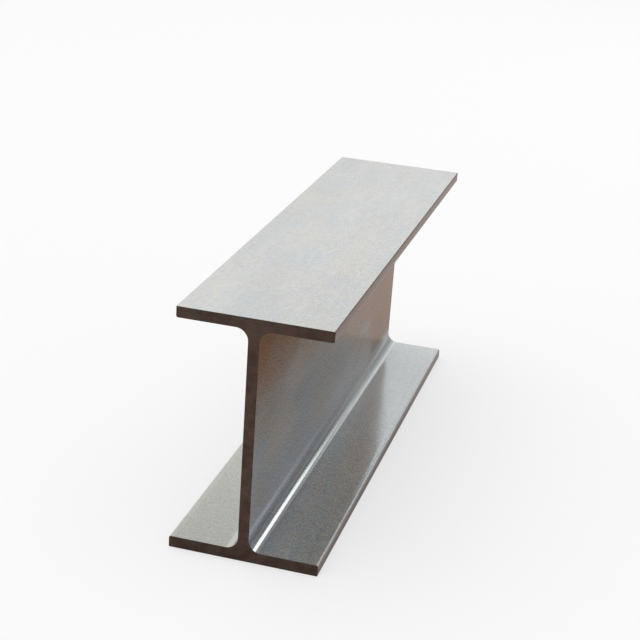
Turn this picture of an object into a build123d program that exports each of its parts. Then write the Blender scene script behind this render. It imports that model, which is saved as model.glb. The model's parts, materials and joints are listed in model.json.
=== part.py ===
# Steel H-beam: a short sawn length of one rolled section, standing on its bottom flange.
# Millimetres, +X along the beam, +Z up, origin under the middle of the bottom flange.
import os

from build123d import *

# Rolled section
section_depth = 150.0
flange_width = 90.0
flange_thickness = 7.0
web_thickness = 6.5

# Rolled corners: the root where web meets flange, and the two edges of each flange tip
root_radius = 7.5
toe_inner_radius = 1.2
toe_outer_radius = 0.7

# Sawn ends
beam_length = 350.0
end_edge_break = 0.3

with BuildPart() as beam:
    with BuildSketch(Plane.YZ) as section:
        # Two flanges, one on the floor and one at full depth
        with Locations((0, flange_thickness / 2), (0, section_depth - flange_thickness / 2)):
            Rectangle(flange_width, flange_thickness)
        # The web, from flange to flange
        with Locations((0, section_depth / 2)):
            Rectangle(web_thickness, section_depth - 2 * flange_thickness)
        # Root fillets where the web meets each flange
        roots = section.vertices().filter_by_position(Axis.X, -web_thickness / 2, web_thickness / 2)
        fillet(roots, root_radius)
        # Inner edge of each flange tip, the rounder one
        tips = section.vertices().group_by(Axis.X)[0] + section.vertices().group_by(Axis.X)[-1]
        inner_toes = tips.filter_by_position(Axis.Y, flange_thickness, section_depth - flange_thickness)
        fillet(inner_toes, toe_inner_radius)
        # Outer edge of each flange tip, nearly sharp
        outer_rows = section.vertices().group_by(Axis.Y)
        fillet(outer_rows[0] + outer_rows[-1], toe_outer_radius)
    extrude(amount=beam_length / 2, both=True)
    # Sawn ends with the edge broken all round
    faces_along = beam.faces().sort_by(Axis.X)
    chamfer(faces_along[0].edges() + faces_along[-1].edges(), end_edge_break)

beam.part.label = "h_beam"

os.makedirs("parts", exist_ok=True)
export_step(beam.part, "parts/h_beam.step")
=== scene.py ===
"""Looks for the steel H-beam: a finely meshed rolled section with sawn ends, in a pale studio."""
import json
import math
from types import SimpleNamespace

import bmesh
import bpy
from mathutils import Matrix, Vector


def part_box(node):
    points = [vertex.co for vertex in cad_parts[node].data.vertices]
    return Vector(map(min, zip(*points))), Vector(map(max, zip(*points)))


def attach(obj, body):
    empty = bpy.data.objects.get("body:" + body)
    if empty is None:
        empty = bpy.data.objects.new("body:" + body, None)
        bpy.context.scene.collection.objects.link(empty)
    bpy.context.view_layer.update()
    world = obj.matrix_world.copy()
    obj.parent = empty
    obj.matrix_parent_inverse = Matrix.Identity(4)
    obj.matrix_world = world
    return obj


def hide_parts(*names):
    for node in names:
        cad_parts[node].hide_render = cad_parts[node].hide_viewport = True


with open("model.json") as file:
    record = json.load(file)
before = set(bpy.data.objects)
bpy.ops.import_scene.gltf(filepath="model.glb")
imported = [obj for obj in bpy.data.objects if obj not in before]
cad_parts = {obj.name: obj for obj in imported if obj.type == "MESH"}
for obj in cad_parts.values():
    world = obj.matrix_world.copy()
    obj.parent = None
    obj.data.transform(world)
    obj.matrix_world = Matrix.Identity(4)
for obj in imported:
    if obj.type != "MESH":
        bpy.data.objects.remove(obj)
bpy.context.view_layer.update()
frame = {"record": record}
scene = bpy.context.scene
scene.view_settings.view_transform = "Standard"

# Sizes in metres: the box and the web come from the frame, the rest repeat the part's own values
low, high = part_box("h_beam")
LENGTH = high.x - low.x
WIDTH = high.y - low.y
DEPTH = high.z - low.z
mounts = {mount["name"]: mount for mount in frame["record"]["mounts"]}
WEB = 2 * mounts["web_face_left"]["pos_m"][1]
FLANGE = 0.007
ROOT = 0.0075
TOE_IN = 0.0012
TOE_OUT = 0.0007
BREAK = 0.0003

# Mesh: steps round each curve, pitch of the flat runs, stations along the beam, angle of a sharp edge
ROOT_STEPS = 20
TOE_IN_STEPS = 8
TOE_OUT_STEPS = 6
FLAT_PITCH = 0.003
STATIONS = 100
SHARP_ANGLE = math.radians(32)
STEEL_SLOT = 0
SAWN_SLOT = 1


# The rolled section
def arc(cy, cz, radius, start, stop, steps):
    points = []
    for i in range(steps + 1):
        a = math.radians(start + (stop - start) * i / steps)
        points.append((cy + radius * math.cos(a), cz + radius * math.sin(a)))
    return points


def run(start, stop):
    """Points between start and stop, without the two ends."""
    steps = max(1, round(math.dist(start, stop) / FLAT_PITCH))
    return [tuple(a + (b - a) * i / steps for a, b in zip(start, stop)) for i in range(1, steps)]


def quarter():
    """Points (y, z) from the web's middle to the top face's middle, z measured from mid depth."""
    under = DEPTH / 2 - FLANGE
    root = arc(WEB / 2 + ROOT, under - ROOT, ROOT, 180, 90, ROOT_STEPS)
    inner = arc(WIDTH / 2 - TOE_IN, under + TOE_IN, TOE_IN, -90, 0, TOE_IN_STEPS)
    outer = arc(WIDTH / 2 - TOE_OUT, DEPTH / 2 - TOE_OUT, TOE_OUT, 0, 90, TOE_OUT_STEPS)
    start, stop = (WEB / 2, 0.0), (0.0, DEPTH / 2)
    points = [start] + run(start, root[0]) + root + run(root[-1], inner[0]) + inner
    return points + run(inner[-1], outer[0]) + outer + run(outer[-1], stop) + [stop]


def profile():
    """The closed section as (y, z) with z from the floor."""
    left_top = quarter()
    right_top = [(-y, z) for y, z in reversed(left_top[:-1])]
    right_low = [(-y, -z) for y, z in left_top[1:]]
    left_low = [(y, -z) for y, z in reversed(left_top[1:-1])]
    return [(y, z + DEPTH / 2) for y, z in left_top + right_top + right_low + left_low]


def outward(points):
    """Unit normals of a closed run of points."""
    normals = []
    count = len(points)
    for i in range(count):
        (ay, az), (by, bz) = points[i - 1], points[(i + 1) % count]
        d = math.hypot(by - ay, bz - az)
        normals.append(((bz - az) / d, -(by - ay) / d))
    return normals


def build_beam():
    """The section swept along X, with a broken edge and a flat face at each end."""
    section = profile()
    normals = outward(section)
    area = sum(a[0] * b[1] - b[0] * a[1] for a, b in zip(section, section[1:] + section[:1]))
    side = 1 if area > 0 else -1
    inset = [(y - side * BREAK * ny, z - side * BREAK * nz) for (y, z), (ny, nz) in zip(section, normals)]
    bm = bmesh.new()
    body = LENGTH - 2 * BREAK
    rings = [[bm.verts.new((-LENGTH / 2, y, z)) for y, z in inset]]
    for i in range(STATIONS + 1):
        x = -body / 2 + body * i / STATIONS
        rings.append([bm.verts.new((x, y, z)) for y, z in section])
    rings.append([bm.verts.new((LENGTH / 2, y, z)) for y, z in inset])
    count = len(section)
    for r in range(len(rings) - 1):
        for i in range(count):
            j = (i + 1) % count
            face = bm.faces.new((rings[r][i], rings[r][j], rings[r + 1][j], rings[r + 1][i]))
            face.smooth = True
            edge_break = r in (0, len(rings) - 2)
            rubbed = section[i][1] > DEPTH - BREAK
            face.material_index = SAWN_SLOT if edge_break and not rubbed else STEEL_SLOT
    for ring in (rings[0], rings[-1]):
        face = bm.faces.new(ring)
        face.material_index = SAWN_SLOT
    bmesh.ops.recalc_face_normals(bm, faces=bm.faces)
    mesh = bpy.data.meshes.new("beam")
    bm.to_mesh(mesh)
    bm.free()
    mesh.set_sharp_from_angle(angle=SHARP_ANGLE)
    piece = bpy.data.objects.new("beam", mesh)
    scene.collection.objects.link(piece)
    return piece


beam = build_beam()
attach(beam, "root")
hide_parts("h_beam")


# Helpers that add nodes
class Nodes:
    """Adds nodes to a tree and links them, so that a shader reads from top to bottom."""

    def __init__(self, tree):
        self.nodes = tree.nodes
        self.links = tree.links

    def put(self, value, socket):
        """Links a socket or sets a value; a colour of three numbers gets its alpha here."""
        if isinstance(value, bpy.types.NodeSocket):
            self.links.new(value, socket)
        elif isinstance(value, tuple):
            socket.default_value = (*value, 1.0)
        else:
            socket.default_value = value

    def math(self, operation, a, b=0.0):
        node = self.nodes.new("ShaderNodeMath")
        node.operation = operation
        self.put(a, node.inputs[0])
        self.put(b, node.inputs[1])
        return node.outputs[0]

    def plus(self, *values):
        total = values[0]
        for value in values[1:]:
            total = self.math("ADD", total, value)
        return total

    def times(self, *values):
        product = values[0]
        for value in values[1:]:
            product = self.math("MULTIPLY", product, value)
        return product

    def minus(self, a, b):
        return self.math("SUBTRACT", a, b)

    def outside(self, zone):
        return self.math("SUBTRACT", 1.0, zone)

    def larger(self, a, b):
        return self.math("MAXIMUM", a, b)

    def ramp(self, value, low_in, high_in, low_out=0.0, high_out=1.0):
        """A smooth step of value from low_in to high_in."""
        node = self.nodes.new("ShaderNodeMapRange")
        node.interpolation_type = "SMOOTHSTEP"
        for i, given in enumerate((value, low_in, high_in, low_out, high_out)):
            self.put(given, node.inputs[i])
        return node.outputs[0]

    def fade(self, value, low_in, high_in):
        """A smooth step down from 1 to 0."""
        return self.ramp(value, low_in, high_in, 1.0, 0.0)


class Surface(Nodes):
    """The nodes of a material, with x, y and z on the part in metres."""

    def __init__(self, mat):
        mat.use_nodes = True
        super().__init__(mat.node_tree)
        self.shader = self.nodes["Principled BSDF"]
        self.place = self.nodes.new("ShaderNodeTexCoord").outputs["Object"]
        split = self.nodes.new("ShaderNodeSeparateXYZ")
        self.links.new(self.place, split.inputs[0])
        self.x, self.y, self.z = split.outputs

    def noise(self, size, detail, rough, stretch=(1, 1, 1), shift=(0, 0, 0), twist=0.0):
        """Noise whose features are about size metres across, drawn out along an axis by stretch."""
        move = self.nodes.new("ShaderNodeMapping")
        self.links.new(self.place, move.inputs["Vector"])
        move.inputs["Location"].default_value = shift
        move.inputs["Scale"].default_value = [1 / (size * k) for k in stretch]
        node = self.nodes.new("ShaderNodeTexNoise")
        self.links.new(move.outputs[0], node.inputs["Vector"])
        node.inputs["Scale"].default_value = 1.0
        node.inputs["Detail"].default_value = detail
        node.inputs["Roughness"].default_value = rough
        node.inputs["Distortion"].default_value = twist
        return node.outputs["Fac"]

    def swing(self, noise, size):
        """Noise as a change either way, size times its distance from the middle."""
        return self.times(self.minus(noise, 0.5), size)

    def mix(self, factor, a, b, kind="MIX"):
        node = self.nodes.new("ShaderNodeMix")
        node.data_type = "RGBA"
        node.blend_type = kind
        self.put(factor, node.inputs["Factor"])
        self.put(a, node.inputs[6])
        self.put(b, node.inputs[7])
        return node.outputs[2]

    def shaded(self, colour, level):
        """The colour times a number."""
        grey = self.nodes.new("ShaderNodeCombineColor")
        for i in range(3):
            self.links.new(level, grey.inputs[i])
        return self.mix(1.0, colour, grey.outputs[0], "MULTIPLY")

    def bump(self, height, depth, strength, under=None):
        node = self.nodes.new("ShaderNodeBump")
        self.put(strength, node.inputs["Strength"])
        node.inputs["Distance"].default_value = depth
        self.links.new(height, node.inputs["Height"])
        if under is not None:
            self.links.new(under, node.inputs["Normal"])
        return node.outputs[0]


# Steel colours, linear; a pair is what flecks or mottling vary between, or the near and the far end
TOP_FACE = ((0.661, 0.69, 0.7), (0.719, 0.71, 0.674))
LEDGE_NEAR = ((0.58, 0.645, 0.69), (0.665, 0.645, 0.6))
# Painted reflection: a paler, bluish strip on the outer part of the bottom flange near the end
LEDGE_OUTER_REFLECTION = ((0.6, 0.73, 0.78), (0.685, 0.73, 0.7))
LEDGE_PLAIN = (0.635, 0.685, 0.705)
# Painted shade: the left half of the bottom flange darker and warmer
LEDGE_LEFT_SHADE = (0.606, 0.611, 0.57)
# Painted reflection: the far part of the bottom flange paler
LEDGE_FAR_REFLECTION = (0.718, 0.757, 0.766)
# Painted shade: the underside of the top flange dark brown
UNDERSIDE_SHADE = (0.36, 0.32, 0.3)
WEB_LOW = ((0.303, 0.335, 0.377), (0.352, 0.335, 0.323))
# Painted reflection: the low web paler towards the far end
WEB_LOW_FAR_REFLECTION = (0.56, 0.56, 0.56)
# Painted reflection on the web: darker and then brown towards the top, paler brown at the far end, and a
# pale highlight line above the root
WEB_DARKENED = ((0.298, 0.311, 0.322), (0.345, 0.317, 0.284))
WEB_BROWN = ((0.185, 0.134, 0.103), (0.225, 0.128, 0.085))
WEB_FAR = ((0.385, 0.34, 0.31), (0.455, 0.33, 0.27))
WEB_HIGHLIGHT_LINE = (0.52, 0.55, 0.6)
LOW_TIP = ((0.108, 0.084, 0.075), (0.245, 0.205, 0.185))
# Painted highlight along the upper edge of the bottom flange's tips
LOW_TIP_HIGHLIGHT = (0.28, 0.262, 0.255)
TOP_TIP = (0.15, 0.1, 0.08)

# Tints of the sheen at a flat angle
SHEEN_FLANGE = (0.8, 0.8, 0.8)
SHEEN_LOW_WEB = ((0.45, 0.45, 0.46), (0.7, 0.7, 0.7))
SHEEN_DULL = (0.55, 0.53, 0.51)
SHEEN_BROWN = (0.4, 0.33, 0.29)
SHEEN_FAR = (0.55, 0.48, 0.44)
SHEEN_HIGHLIGHT_LINE = (0.8, 0.82, 0.86)
SHEEN_TIP = (0.75, 0.7, 0.68)

# Where a finish or painted light comes in or fades out along the beam, in metres from the middle
WEB_RUN = (-0.15, 0.12)
FAR_PART_RUN = (-0.04, 0.11)
PLAIN_RUN = (-0.09, 0.01)
OUTER_RUN = (-0.07, 0.0)
HIGHLIGHT_LINE_RUN = (-0.155, 0.07)
LOW_TIP_RUN = (0.0, 0.16)
SMOOTH_RUN = (0.02, 0.12)
ROUGH_RUN = (-0.08, 0.06)
NEAR_END_RUN = (-0.17, -0.1)
TOP_RUN = (-0.17, 0.06)

# Depth of the shading in the colour
GRAIN_LEAST = 0.1
GRAIN_MORE_ON_WEB = 1.4
GRAIN_LESS_ON_TOP = 0.45
GRAIN_LESS_IN_ROOT = 0.85
GRAIN_LESS_WHERE_SMOOTH = 0.4
GRAIN_MORE_WHERE_ROUGH = 0.45
SMUDGE_SHADE = 0.16
STREAK_SHADE = 0.08
TOP_FLECK_SHADE = 0.1
SPECK_SHADE = 0.4
NEAR_END_SHADE = 0.12
TOP_RIGHT_SHADE = (-0.045, 0.035)

# Bare metal, polish and relief
BARE_STEEL = 0.85
OXIDE_ON_WEB = 0.45
LESS_METAL_ON_FAR_LEDGE = 0.35
ROUGHNESS_LEAST = 0.12
ROUGHNESS_SWING = 0.06
ROUGHNESS_MORE_ON_LOW_TOE = 0.14
RELIEF = 0.25
RELIEF_LESS_IN_ROOT = 0.24
RELIEF_DEPTH = 0.00002
SAW_MARK_DEPTH = 0.00006


# Materials
def steel_zones(t):
    """The zones of the section, each 1 inside and 0 outside with a soft edge."""
    zone = SimpleNamespace()
    zone.side = t.math("ABSOLUTE", t.y)
    reach = t.math("ABSOLUTE", t.minus(t.z, DEPTH / 2))
    inside = t.fade(reach, DEPTH / 2 - FLANGE, DEPTH / 2 - 0.8 * FLANGE)
    zone.left = t.ramp(t.y, -0.01, 0.01)
    # Towards the far end: where the low web is painted paler, a painted reflection, and its sheen changes
    zone.along = t.ramp(t.x, *WEB_RUN)
    # Towards the far end: where the bottom flange is painted paler, a painted reflection, and has less metal
    zone.worn = t.ramp(t.x, *FAR_PART_RUN)

    # The web takes in the part of each fillet beside it; the root is the whole fillet
    zone.web = t.times(inside, t.fade(zone.side, WEB / 2 + 0.1 * ROOT, WEB / 2 + 0.3 * ROOT))
    by_flange = t.ramp(reach, DEPTH / 2 - FLANGE - ROOT, DEPTH / 2 - FLANGE - 0.8 * ROOT)
    by_web = t.fade(zone.side, WEB / 2 + 0.85 * ROOT, WEB / 2 + ROOT)
    zone.root = t.times(by_flange, by_web, inside)

    # Top face, inner faces of the flanges, and their tips; the tips' brown wraps round the lower edge of the
    # top tips
    zone.top = t.ramp(t.z, DEPTH - 0.4 * FLANGE, DEPTH - 0.1 * FLANGE)
    zone.top_half = t.math("GREATER_THAN", t.z, DEPTH / 2)
    low_half = t.outside(zone.top_half)
    flange_inside = t.times(inside, t.outside(zone.web))
    zone.underside = t.times(flange_inside, zone.top_half)
    zone.ledge = t.times(flange_inside, low_half)
    zone.toe = t.ramp(zone.side, WIDTH / 2 - 1.6 * TOE_IN, WIDTH / 2 - 0.8 * TOE_IN)
    zone.low_toe = t.times(zone.toe, low_half)
    tip_face = t.ramp(zone.side, WIDTH / 2 - 0.7 * TOE_OUT, WIDTH / 2 - 0.1 * TOE_OUT)
    zone.tip = t.larger(tip_face, t.times(zone.toe, t.minus(zone.top_half, zone.top)))
    return zone


def steel_marks(t):
    """Mottling, smudges and streaks along the rolling direction, flecks and grain."""
    marks = SimpleNamespace()
    marks.cloud = t.noise(0.026, detail=4, rough=0.6, stretch=(1.6, 1, 1), shift=(3, 1, 7), twist=0.4)
    marks.smudge = t.noise(0.011, detail=3, rough=0.55, stretch=(5, 1, 1), shift=(2, 4, 6), twist=0.3)
    marks.streak = t.noise(0.0022, detail=3, rough=0.6, stretch=(40, 1, 1))
    marks.fleck = t.noise(0.0042, detail=3, rough=0.6, shift=(7, 2, 5), twist=0.5)
    marks.grain = t.noise(0.0011, detail=2, rough=0.65)
    marks.flecked = t.ramp(marks.fleck, 0.36, 0.64)
    marks.mottled = t.ramp(t.plus(t.times(marks.fleck, 0.5), t.times(marks.cloud, 0.5)), 0.4, 0.6)
    return marks


def painted_web_reflection(t, marks):
    """Painted reflection on the web: darker and then brown towards the top, paler brown at the far end, and
    a pale painted highlight line above the root.
    """
    painted_web = SimpleNamespace()
    stain = t.noise(0.03, detail=3, rough=0.55, stretch=(2, 1, 1), shift=(1, 5, 2))
    height = t.plus(t.z, t.swing(stain, 0.03))
    painted_web.dull = t.ramp(height, 0.01, 0.08)
    painted_web.brown = t.ramp(height, 0.062, 0.136)
    spread = t.plus(t.x, t.times(height, 1.6), t.swing(marks.cloud, 0.13))
    above_fillet = t.ramp(t.z, FLANGE + 0.8 * ROOT, FLANGE + 2 * ROOT)
    painted_web.far = t.times(t.ramp(spread, 0.1, 0.182), above_fillet)
    above_root = t.minus(t.z, FLANGE + ROOT)
    rise, fall = t.ramp(above_root, -0.0035, 0.0025), t.fade(above_root, 0.002, 0.008)
    painted_web.line = t.times(rise, fall, t.fade(t.x, *HIGHLIGHT_LINE_RUN))
    return painted_web


def flange_colour(t, zone, marks):
    """Flecked near the end of the bottom flange, plainer further on, mottled on top; painted reflection
    pales its far part and an outer strip near the end, painted shade darkens its left half and the underside
    of the top flange.
    """
    colour = t.mix(marks.flecked, *LEDGE_NEAR)
    # Painted reflection: a paler, bluish strip on the outer part near the end
    outer = t.times(t.ramp(zone.side, 0.016, 0.04), t.fade(t.x, *OUTER_RUN), t.outside(zone.toe))
    colour = t.mix(outer, colour, t.mix(marks.flecked, *LEDGE_OUTER_REFLECTION))
    colour = t.mix(t.larger(zone.root, t.ramp(t.x, *PLAIN_RUN)), colour, LEDGE_PLAIN)
    # Painted shade: darker and warmer on the left half
    colour = t.mix(zone.left, colour, LEDGE_LEFT_SHADE)
    # Painted reflection: paler on the far part
    colour = t.mix(zone.worn, colour, LEDGE_FAR_REFLECTION)
    colour = t.mix(zone.top, colour, t.mix(marks.mottled, *TOP_FACE))
    # Painted shade: dark brown under the top flange
    return t.mix(zone.underside, colour, UNDERSIDE_SHADE)


def web_colour(t, zone, marks, painted_web):
    """Grey low down; painted reflection makes it paler low down towards the far end, darker and then brown
    towards the top, paler brown at the far end, with a pale painted highlight line above the root.
    """
    # Painted reflection: paler low down towards the far end
    colour = t.mix(zone.along, t.mix(marks.mottled, *WEB_LOW), WEB_LOW_FAR_REFLECTION)
    # Painted reflection: darker and then brown towards the top, paler brown at the far end
    colour = t.mix(painted_web.dull, colour, t.mix(marks.mottled, *WEB_DARKENED))
    colour = t.mix(painted_web.brown, colour, t.mix(marks.flecked, *WEB_BROWN))
    colour = t.mix(painted_web.far, colour, t.mix(marks.flecked, *WEB_FAR))
    # Painted highlight: a pale line above the root
    return t.mix(painted_web.line, colour, WEB_HIGHLIGHT_LINE)


def tip_colour(t, zone):
    """Brown, darker over the near half of the bottom flange, with a painted highlight along its upper edge.
    """
    low_tip = t.mix(t.ramp(t.x, *LOW_TIP_RUN), *LOW_TIP)
    # Painted highlight: paler towards the upper edge of the bottom flange's tips
    low_tip = t.mix(t.ramp(t.z, 0.5 * FLANGE, 0.9 * FLANGE), low_tip, LOW_TIP_HIGHLIGHT)
    return t.mix(zone.top_half, low_tip, TOP_TIP)


def steel_shade(t, zone, marks, painted_web):
    """Grain, strongest on the web and finest on top, with smudges, streaks and specks; 0 is no change."""
    depth = t.plus(1.0, t.times(zone.web, GRAIN_MORE_ON_WEB))
    depth = t.minus(depth, t.times(zone.top, GRAIN_LESS_ON_TOP))
    depth = t.minus(depth, t.times(zone.root, GRAIN_LESS_IN_ROOT))
    depth = t.larger(depth, GRAIN_LEAST)
    smooth = t.larger(zone.left, t.ramp(t.x, *SMOOTH_RUN))
    depth = t.times(depth, t.outside(t.times(smooth, GRAIN_LESS_WHERE_SMOOTH)))
    rough = t.outside(t.larger(zone.left, t.ramp(t.x, *ROUGH_RUN)))
    rough = t.times(rough, t.minus(zone.ledge, t.times(zone.ledge, zone.root)))
    depth = t.plus(depth, t.times(rough, GRAIN_MORE_WHERE_ROUGH))
    shade = t.swing(marks.grain, depth)
    shade = t.plus(shade, t.swing(marks.smudge, SMUDGE_SHADE), t.swing(marks.streak, STREAK_SHADE))

    # The web is darker at its near end, the right half of the top paler towards its far end
    grey_web = t.times(zone.web, t.outside(t.larger(painted_web.brown, painted_web.line)))
    shade = t.minus(shade, t.times(t.ramp(t.x, *NEAR_END_RUN, NEAR_END_SHADE, 0.0), grey_web))
    shade = t.plus(shade, t.swing(marks.fleck, t.times(zone.top, TOP_FLECK_SHADE)))
    right_top = t.times(zone.top, t.fade(t.y, 0.005, 0.03))
    shade = t.plus(shade, t.times(right_top, t.ramp(t.x, *TOP_RUN, *TOP_RIGHT_SHADE)))

    # Dark specks in clusters on the top
    speck = t.ramp(t.noise(0.0017, detail=1, rough=0.5, stretch=(1.6, 1, 1), shift=(4, 4, 1)), 0.7, 0.78)
    cluster = t.ramp(t.noise(0.045, detail=2, rough=0.5, shift=(6, 3, 2)), 0.5, 0.62)
    return t.minus(shade, t.times(speck, SPECK_SHADE, t.times(cluster, zone.top)))


def steel_sheen(t, zone, painted_web):
    """Less sheen at a flat angle on the web, where it is painted darker and brown, and on the tips; more
    along the painted highlight line.
    """
    low_sheen = t.mix(zone.along, *SHEEN_LOW_WEB)
    sheen = t.mix(zone.web, SHEEN_FLANGE, t.mix(painted_web.dull, low_sheen, SHEEN_DULL))
    sheen = t.mix(t.times(painted_web.brown, zone.web), sheen, SHEEN_BROWN)
    sheen = t.mix(t.times(painted_web.far, zone.web), sheen, SHEEN_FAR)
    sheen = t.mix(t.times(painted_web.line, zone.web), sheen, SHEEN_HIGHLIGHT_LINE)
    return t.mix(zone.tip, sheen, SHEEN_TIP)


def rolled_steel():
    """Satin mill finish: pale on the flanges, grey low on the web, brown higher up on the web as painted
    reflection, and brown at the tips.
    """
    mat = bpy.data.materials.new("rolled_steel")
    t = Surface(mat)
    zone = steel_zones(t)
    marks = steel_marks(t)
    painted_web = painted_web_reflection(t, marks)

    colour = t.mix(zone.web, flange_colour(t, zone, marks), web_colour(t, zone, marks, painted_web))
    colour = t.mix(zone.tip, colour, tip_colour(t, zone))
    level = t.plus(steel_shade(t, zone, marks, painted_web), 1.0)
    t.put(t.shaded(colour, level), t.shader.inputs["Base Color"])

    bare = t.minus(BARE_STEEL, t.times(zone.web, OXIDE_ON_WEB))
    bare = t.minus(bare, t.times(zone.ledge, zone.worn, LESS_METAL_ON_FAR_LEDGE))
    t.put(bare, t.shader.inputs["Metallic"])
    t.shader.inputs["Specular IOR Level"].default_value = 0.0
    t.put(steel_sheen(t, zone, painted_web), t.shader.inputs["Specular Tint"])

    polish = t.plus(t.times(marks.smudge, ROUGHNESS_SWING), t.times(marks.cloud, ROUGHNESS_SWING))
    polish = t.plus(polish, ROUGHNESS_LEAST, t.times(zone.low_toe, ROUGHNESS_MORE_ON_LOW_TOE))
    t.put(polish, t.shader.inputs["Roughness"])
    relief = t.minus(RELIEF, t.times(zone.root, RELIEF_LESS_IN_ROOT))
    normal = None
    for mark in (marks.grain, marks.fleck, marks.streak):
        normal = t.bump(mark, RELIEF_DEPTH, relief, normal)
    t.put(normal, t.shader.inputs["Normal"])
    return mat


def sawn_end():
    """Dark brown saw cut with fine marks across it, a little darker at the foot."""
    mat = bpy.data.materials.new("sawn_end")
    t = Surface(mat)
    cut = t.noise(0.0011, detail=2, rough=0.6, stretch=(1, 60, 1))
    patch = t.noise(0.009, detail=4, rough=0.6, shift=(2, 8, 3))
    olive = t.noise(0.006, detail=3, rough=0.6, shift=(5, 1, 9))
    colour = t.mix(t.ramp(patch, 0.35, 0.65), (0.064, 0.039, 0.033), (0.09, 0.057, 0.047))
    colour = t.mix(t.ramp(olive, 0.5, 0.66), colour, (0.07, 0.056, 0.04))
    level = t.plus(t.times(cut, 0.6), 0.7)
    level = t.times(level, t.ramp(t.z, 0.5 * FLANGE, 2 * FLANGE, 0.86, 1.0))
    t.put(t.shaded(colour, level), t.shader.inputs["Base Color"])
    t.shader.inputs["Metallic"].default_value = 0.3
    t.shader.inputs["Specular IOR Level"].default_value = 0.0
    t.put(t.plus(t.times(cut, 0.2), 0.42), t.shader.inputs["Roughness"])
    t.put(t.bump(cut, SAW_MARK_DEPTH, 0.6), t.shader.inputs["Normal"])
    return mat


beam.data.materials.append(rolled_steel())
beam.data.materials.append(sawn_end())

# Floor
FLOOR_RADIUS = 12.0
FLOOR_GREY = 0.95
FLOOR_GLOW = 0.6


def pale_floor():
    """Matt and nearly white, shown paler still to the camera and in mirrors, so that a soft shadow stays."""
    mat = bpy.data.materials.new("pale_floor")
    mat.use_nodes = True
    n = Nodes(mat.node_tree)
    shader = n.nodes["Principled BSDF"]
    shader.inputs["Base Color"].default_value = (FLOOR_GREY, FLOOR_GREY, FLOOR_GREY, 1)
    shader.inputs["Roughness"].default_value = 0.9
    shader.inputs["Specular IOR Level"].default_value = 0.0
    rays = n.nodes.new("ShaderNodeLightPath").outputs
    shown = n.larger(rays["Is Camera Ray"], rays["Is Glossy Ray"])
    shown = n.larger(shown, rays["Is Transmission Ray"])
    glow = n.nodes.new("ShaderNodeEmission")
    glow.inputs["Color"].default_value = (1, 1, 1, 1)
    blend = n.nodes.new("ShaderNodeMixShader")
    n.put(n.times(shown, FLOOR_GLOW), blend.inputs[0])
    n.put(shader.outputs[0], blend.inputs[1])
    n.put(glow.outputs[0], blend.inputs[2])
    n.put(blend.outputs[0], n.nodes["Material Output"].inputs["Surface"])
    return mat


bpy.ops.mesh.primitive_circle_add(vertices=96, radius=FLOOR_RADIUS, fill_type="NGON", location=(0, 0, 0))
floor = bpy.context.object
floor.name = "floor"
floor.data.materials.append(pale_floor())


# World: white to the camera; to mirrored rays a studio that is bright on the left and dim ahead on the right
def mirrored_level(n, ahead, across, up):
    """How bright the studio is by direction, from the parts of a unit vector."""
    # Ahead: dim on the right and high up, bright on the left, with an edge that leans left higher up
    dim = n.ramp(up, 0.38, 0.53, 0.62, 0.17)
    dim = n.ramp(across, -0.29, -0.2, 0.15, dim)
    edge = n.minus(across, n.ramp(up, 0.45, 0.56, 0.0, 0.14))
    level = n.ramp(edge, -0.19, -0.03, dim, 1.0)
    level = n.times(level, n.ramp(up, 0.43, 0.57, 1.0, 0.3))
    # All around: even, somewhat brighter on the left, and dim overhead
    around = n.ramp(across, -0.6, 0.2, 0.6, 0.9)
    around = n.times(around, n.ramp(up, 0.55, 0.8, 1.0, 0.3))
    return n.ramp(ahead, 0.7, 0.81, around, level)


def background(n, level):
    node = n.nodes.new("ShaderNodeBackground")
    node.inputs["Color"].default_value = (1, 1, 1, 1)
    n.put(level, node.inputs["Strength"])
    return node.outputs[0]


def choose(n, ray, otherwise, chosen):
    """The chosen shader for one kind of ray."""
    node = n.nodes.new("ShaderNodeMixShader")
    for i, source in enumerate((ray, otherwise, chosen)):
        n.put(source, node.inputs[i])
    return node.outputs[0]


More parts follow.
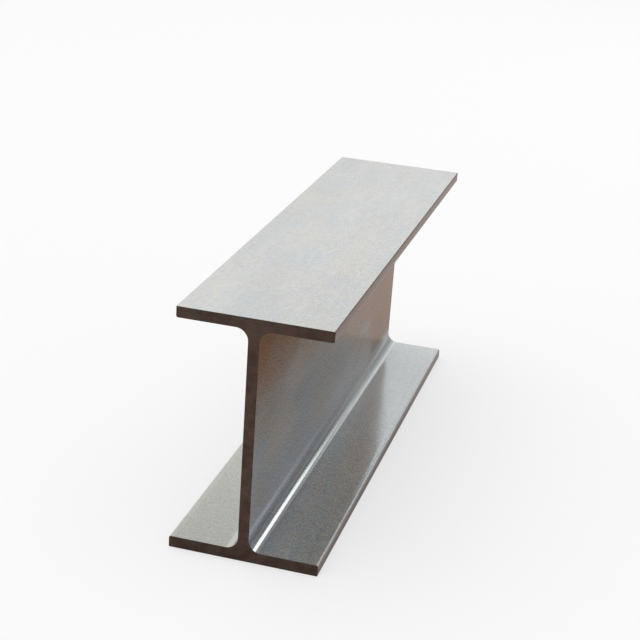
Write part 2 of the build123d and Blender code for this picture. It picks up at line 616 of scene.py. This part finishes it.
def studio():
    world = bpy.data.worlds.new("studio")
    world.use_nodes = True
    n = Nodes(world.node_tree)
    n.nodes.clear()
    rays = n.nodes.new("ShaderNodeLightPath").outputs
    split = n.nodes.new("ShaderNodeSeparateXYZ")
    n.put(n.nodes.new("ShaderNodeTexCoord").outputs["Generated"], split.inputs[0])
    ahead, across, up = split.outputs
    mirrored = background(n, mirrored_level(n, ahead, across, up))
    room = background(n, n.ramp(across, -0.12, 0.04, 0.55, 0.9))
    room = choose(n, rays["Is Glossy Ray"], room, mirrored)
    room = choose(n, rays["Is Transmission Ray"], room, mirrored)
    room = choose(n, rays["Is Camera Ray"], room, background(n, 1.0))
    n.put(room, n.nodes.new("ShaderNodeOutputWorld").inputs[0])
    return world


scene.world = studio()


# Lamps
def softbox(name, place, aim, wide, tall, watts, roll=0.0):
    """An area lamp at place that points at aim, turned about its own axis by roll degrees."""
    data = bpy.data.lights.new(name, "AREA")
    data.shape = "RECTANGLE"
    data.size = wide
    data.size_y = tall
    data.energy = watts
    lamp = bpy.data.objects.new(name, data)
    scene.collection.objects.link(lamp)
    facing = (Vector(aim) - Vector(place)).to_track_quat("-Z", "Y").to_matrix()
    turned = facing @ Matrix.Rotation(math.radians(roll), 3, "Z")
    lamp.matrix_world = Matrix.Translation(place) @ turned.to_4x4()


softbox("overhead", (0.3, 0.5, 3.8), (0, 0, 0), wide=5.0, tall=5.0, watts=50)
softbox("side_strip", (1.82, -0.861, 1.078), (-0.1, -0.01, 0.01), wide=0.63, tall=0.45, watts=2.0, roll=38.5)
softbox("ahead_strip", (2.18, -0.09, 0.98), (0, 0, 0.01), wide=0.28, tall=0.22, watts=0.11)

# Camera at the photograph's place
EYE = Vector((-0.8675772, -0.2124384, 0.4324835))
RIGHT = Vector((0.2709531, -0.9603420, 0.0657846))
DOWN = Vector((-0.3323303, -0.1574654, -0.9299254))
AHEAD = Vector((0.9034052, 0.2301040, -0.3618165))
FOCAL_PX = 1448.03
PICTURE_PX = 640.0
SENSOR_MM = 36.0
optics = bpy.data.cameras.new("camera")
optics.sensor_width = SENSOR_MM
optics.lens = FOCAL_PX * SENSOR_MM / PICTURE_PX
camera = bpy.data.objects.new("camera", optics)
scene.collection.objects.link(camera)
turn = Matrix((RIGHT, -DOWN, -AHEAD)).transposed()
camera.matrix_world = Matrix.Translation(EYE) @ turn.to_4x4()
scene.camera = camera
